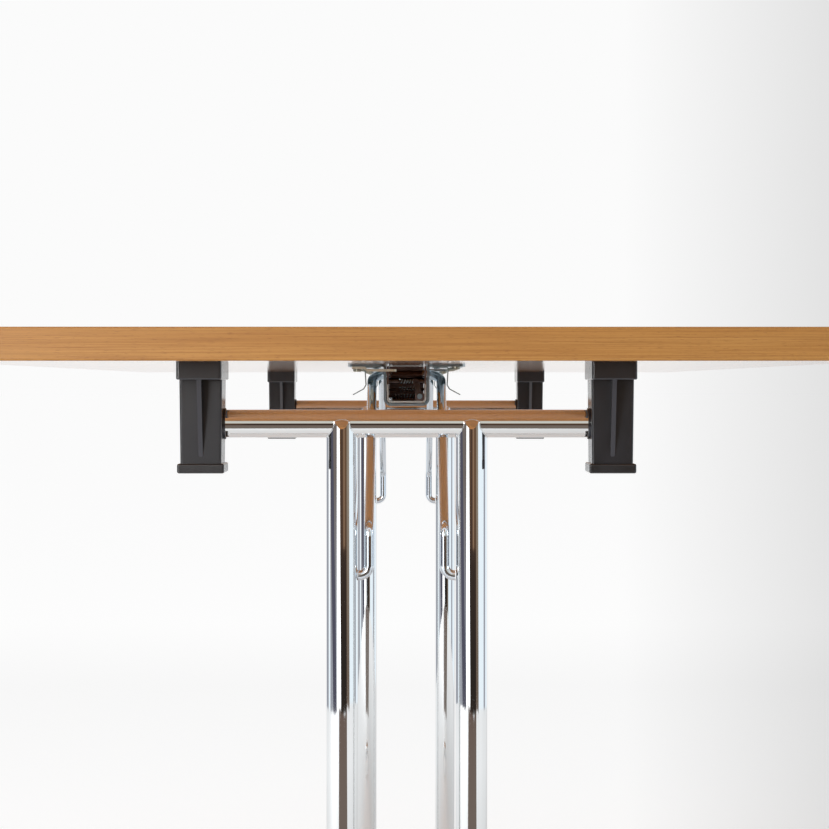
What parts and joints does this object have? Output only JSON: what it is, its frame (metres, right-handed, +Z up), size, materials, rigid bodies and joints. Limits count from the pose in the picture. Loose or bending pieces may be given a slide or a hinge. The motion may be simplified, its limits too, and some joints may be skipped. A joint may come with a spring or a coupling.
{
  "type": "folding conference table",
  "caption": "Folding conference table: rectangular beech-decor top on T-shaped chromed leg frames that fold flat beneath it on struts with sprung latches, and moulded stacking blocks.",
  "frame": {"origin": "on the floor, under the middle of the tabletop", "axes": "+X across the table's width, +Y along its length from the front leg frame to the rear one, +Z up"},
  "size_m": [0.7, 1.5, 0.74],
  "materials": {
    "black_plastic": "moulded, fine grain",
    "board_core": "pressed chipboard",
    "chrome": "bright chromed steel tube",
    "dark_steel": "oiled steel",
    "edge_band": "beech decor band, satin",
    "glide_plastic": "hard plastic",
    "pad_rubber": "matt rubber, fine texture",
    "screw_steel": "passivated steel",
    "spring_steel": "bare spring steel",
    "wood_decor": "beech decor, satin",
    "zinc_steel": "bright zinc-plated sheet"
  },
  "bodies": {
    "top": {"tabletop_core": "board_core", "top_laminate": "wood_decor", "underside_laminate": "wood_decor", "edge_bands_ends": "edge_band", "edge_bands_sides": "edge_band", "block_screws": "screw_steel", "rail_screws": "screw_steel", "clip_rivets": "zinc_steel", "axle_bushes": "black_plastic", "stacking_pads": "pad_rubber", "bearing_block_front_left": "black_plastic", "bearing_block_front_right": "black_plastic", "guide_rail_front": "zinc_steel", "stop_tab_front": "zinc_steel", "spring_clips_front": "spring_steel", "bearing_block_rear_left": "black_plastic", "bearing_block_rear_right": "black_plastic", "guide_rail_rear": "zinc_steel", "stop_tab_rear": "zinc_steel", "spring_clips_rear": "spring_steel"},
    "leg_front": {"cross_tube_front": "chrome", "column_front_left": "chrome", "column_front_right": "chrome", "foot_tube_front": "chrome", "foot_caps_front": "black_plastic", "glide_inserts_front": "zinc_steel"},
    "carriage_front": {"latch_carriage_front": "zinc_steel", "spring_rods_front": "dark_steel", "latch_springs_front": "spring_steel", "lever_rivet_front": "zinc_steel"},
    "strut_front": {"strut_front": "chrome"},
    "release_lever_front": {"release_lever_front": "dark_steel"},
    "lock_bolt_front_left": {"lock_bolt_front_left": "dark_steel"},
    "lock_bolt_front_right": {"lock_bolt_front_right": "dark_steel"},
    "glide_front_left": {"glide_pad_front_left": "glide_plastic", "glide_stem_front_left": "zinc_steel"},
    "glide_front_right": {"glide_pad_front_right": "glide_plastic", "glide_stem_front_right": "zinc_steel"},
    "leg_rear": {"cross_tube_rear": "chrome", "column_rear_left": "chrome", "column_rear_right": "chrome", "foot_tube_rear": "chrome", "foot_caps_rear": "black_plastic", "glide_inserts_rear": "zinc_steel"},
    "carriage_rear": {"latch_carriage_rear": "zinc_steel", "spring_rods_rear": "dark_steel", "latch_springs_rear": "spring_steel", "lever_rivet_rear": "zinc_steel"},
    "strut_rear": {"strut_rear": "chrome"},
    "release_lever_rear": {"release_lever_rear": "dark_steel"},
    "lock_bolt_rear_left": {"lock_bolt_rear_left": "dark_steel"},
    "lock_bolt_rear_right": {"lock_bolt_rear_right": "dark_steel"},
    "glide_rear_left": {"glide_pad_rear_left": "glide_plastic", "glide_stem_rear_left": "zinc_steel"},
    "glide_rear_right": {"glide_pad_rear_right": "glide_plastic", "glide_stem_rear_right": "zinc_steel"}
  },
  "joints": [
    {"name": "leg_fold_front", "type": "hinge", "parent": "top", "child": "leg_front", "pos_m": [0, -0.624, 0.667], "axis": [1, 0, 0], "range_deg": [0, 91.6]},
    {"name": "carriage_slide_front", "type": "slide", "parent": "top", "child": "carriage_front", "axis": [0, 1, 0], "range_m": [0, 0.17381]},
    {"name": "strut_pivot_front", "type": "hinge", "parent": "carriage_front", "child": "strut_front", "pos_m": [0, -0.434, 0.706], "axis": [-1, 0, 0], "range_deg": [0, 31.49]},
    {"name": "lock_bolt_slide_front_right", "type": "slide", "parent": "carriage_front", "child": "lock_bolt_front_right", "axis": [1, 0, 0], "range_m": [0, 0.003]},
    {"name": "lock_bolt_slide_front_left", "type": "slide", "parent": "carriage_front", "child": "lock_bolt_front_left", "axis": [-1, 0, 0], "range_m": [0, 0.003]},
    {"name": "release_lever_turn_front", "type": "hinge", "parent": "carriage_front", "child": "release_lever_front", "pos_m": [0.0112, -0.4476, 0.6876], "axis": [0, 1, 0], "range_deg": [0, 13.14]},
    {"name": "glide_height_front_left", "type": "slide", "parent": "leg_front", "child": "glide_front_left", "axis": [0, 0, -1], "range_m": [0, 0.008]},
    {"name": "glide_height_front_right", "type": "slide", "parent": "leg_front", "child": "glide_front_right", "axis": [0, 0, -1], "range_m": [0, 0.008]},
    {"name": "leg_fold_rear", "type": "hinge", "parent": "top", "child": "leg_rear", "pos_m": [0, 0.624, 0.667], "axis": [-1, 0, 0], "range_deg": [0, 88.4]},
    {"name": "carriage_slide_rear", "type": "slide", "parent": "top", "child": "carriage_rear", "axis": [0, -1, 0], "range_m": [0, 0.17275]},
    {"name": "strut_pivot_rear", "type": "hinge", "parent": "carriage_rear", "child": "strut_rear", "pos_m": [0, 0.434, 0.706], "axis": [1, 0, 0], "range_deg": [0, 29.93]},
    {"name": "lock_bolt_slide_rear_left", "type": "slide", "parent": "carriage_rear", "child": "lock_bolt_rear_left", "axis": [-1, 0, 0], "range_m": [0, 0.003]},
    {"name": "lock_bolt_slide_rear_right", "type": "slide", "parent": "carriage_rear", "child": "lock_bolt_rear_right", "axis": [1, 0, 0], "range_m": [0, 0.003]},
    {"name": "release_lever_turn_rear", "type": "hinge", "parent": "carriage_rear", "child": "release_lever_rear", "pos_m": [-0.0112, 0.4476, 0.6876], "axis": [0, -1, 0], "range_deg": [0, 13.14]},
    {"name": "glide_height_rear_left", "type": "slide", "parent": "leg_rear", "child": "glide_rear_left", "axis": [0, 0, -1], "range_m": [0, 0.008]},
    {"name": "glide_height_rear_right", "type": "slide", "parent": "leg_rear", "child": "glide_rear_right", "axis": [0, 0, -1], "range_m": [0, 0.008]}
  ],
  "couplings": [
    {"joint": "carriage_slide_front", "follows": "leg_fold_front", "m_per_rad": 0.10872},
    {"joint": "strut_pivot_front", "follows": "leg_fold_front", "ratio": 0.34374},
    {"joint": "lock_bolt_slide_front_left", "follows": "lock_bolt_slide_front_right", "ratio": 1},
    {"joint": "release_lever_turn_front", "follows": "lock_bolt_slide_front_right", "rad_per_m": 76.452},
    {"joint": "carriage_slide_rear", "follows": "leg_fold_rear", "m_per_rad": 0.11196},
    {"joint": "strut_pivot_rear", "follows": "leg_fold_rear", "ratio": 0.33851},
    {"joint": "lock_bolt_slide_rear_right", "follows": "lock_bolt_slide_rear_left", "ratio": 1},
    {"joint": "release_lever_turn_rear", "follows": "lock_bolt_slide_rear_left", "rad_per_m": 76.452}
  ]
}
